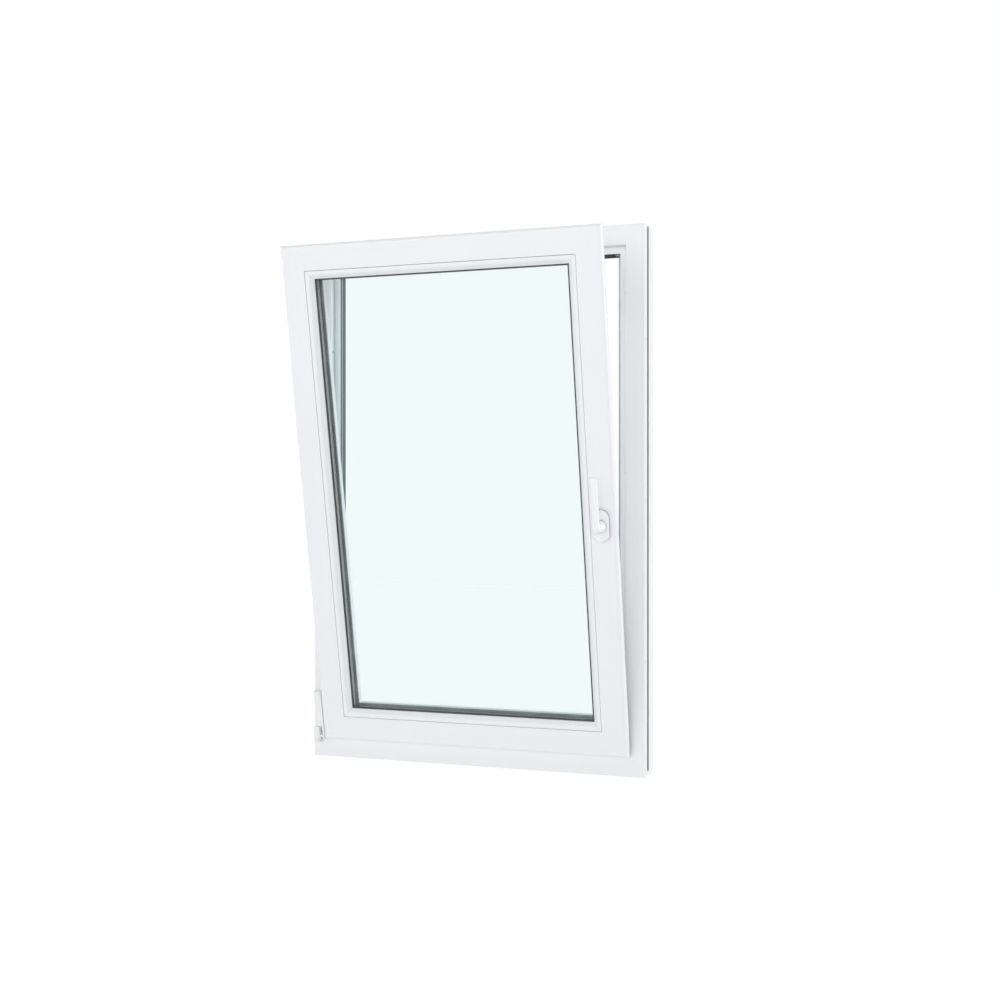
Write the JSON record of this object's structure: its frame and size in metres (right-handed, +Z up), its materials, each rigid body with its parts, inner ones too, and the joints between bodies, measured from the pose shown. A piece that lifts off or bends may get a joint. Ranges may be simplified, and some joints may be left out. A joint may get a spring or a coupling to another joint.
{
  "type": "tilt and turn window",
  "caption": "White plastic window whose glazed sash tilts in at the top on a stay or turns in on side hinges, worked by a lever handle, in a rebated frame.",
  "frame": {"origin": "centre of the frame's underside, halfway through its depth", "axes": "+X to the right seen from the room, +Y to the outside, +Z up"},
  "size_m": [0.8, 0.307, 1.2],
  "materials": {
    "white_pvc": "satin extruded plastic",
    "white_bead": "satin extruded plastic",
    "black_gasket": "matt extruded rubber",
    "clear_glass": "float glass with a pale green tint",
    "spacer_grey": "dull dark spacer bar",
    "hinge_steel": "zinc-plated steel",
    "hinge_cover": "moulded white caps",
    "white_handle": "satin powder coat"
  },
  "bodies": {
    "frame": {"frame_left_jamb": "white_pvc", "frame_right_jamb": "white_pvc", "frame_head": "white_pvc", "frame_sill": "white_pvc", "frame_gasket": "black_gasket", "corner_bearing": "hinge_steel", "stay_bearing": "hinge_cover", "stay_pin": "hinge_steel", "strike_plates": "hinge_steel", "drain_caps": "hinge_cover"},
    "hinge_knuckle": {"pivot_knuckle": "hinge_cover"},
    "sash": {"sash_left_stile": "white_pvc", "sash_right_stile": "white_pvc", "sash_top_rail": "white_pvc", "sash_bottom_rail": "white_pvc", "bead_left": "white_bead", "bead_right": "white_bead", "bead_top": "white_bead", "bead_bottom": "white_bead", "inner_pane": "clear_glass", "outer_pane": "clear_glass", "glass_spacer": "spacer_grey", "inner_glazing_gasket": "black_gasket", "outer_glazing_gasket": "black_gasket", "overlap_gasket": "black_gasket", "corner_band": "hinge_steel", "corner_band_cover": "hinge_cover", "lock_rail": "hinge_steel", "lock_cams": "hinge_steel", "handle_rosette": "white_handle"},
    "handle": {"handle_lever": "white_handle"},
    "stay": {"stay_arm": "hinge_steel", "stay_stud": "hinge_steel"}
  },
  "joints": [
    {"name": "turn", "type": "hinge", "parent": "frame", "child": "hinge_knuckle", "pos_m": [-0.385, -0.047, 0.055], "axis": [0, 0, -1], "range_deg": [0, 90]},
    {"name": "tilt", "type": "hinge", "parent": "hinge_knuckle", "child": "sash", "pos_m": [-0.365, -0.047, 0.049], "axis": [-1, 0, 0], "range_deg": [0, 10.94]},
    {"name": "stay_swing", "type": "hinge", "parent": "hinge_knuckle", "child": "stay", "pos_m": [-0.385, -0.047, 1.1522], "axis": [0, 0, 1], "range_deg": [0, 25.6]},
    {"name": "handle_turn", "type": "hinge", "parent": "sash", "child": "handle", "pos_m": [0.336, -0.15164, 0.54821], "axis": [0, -0.9818, -0.1898], "range_deg": [0, 180]}
  ],
  "couplings": [
    {"joint": "stay_swing", "follows": "tilt", "ratio": 2.3374}
  ]
}
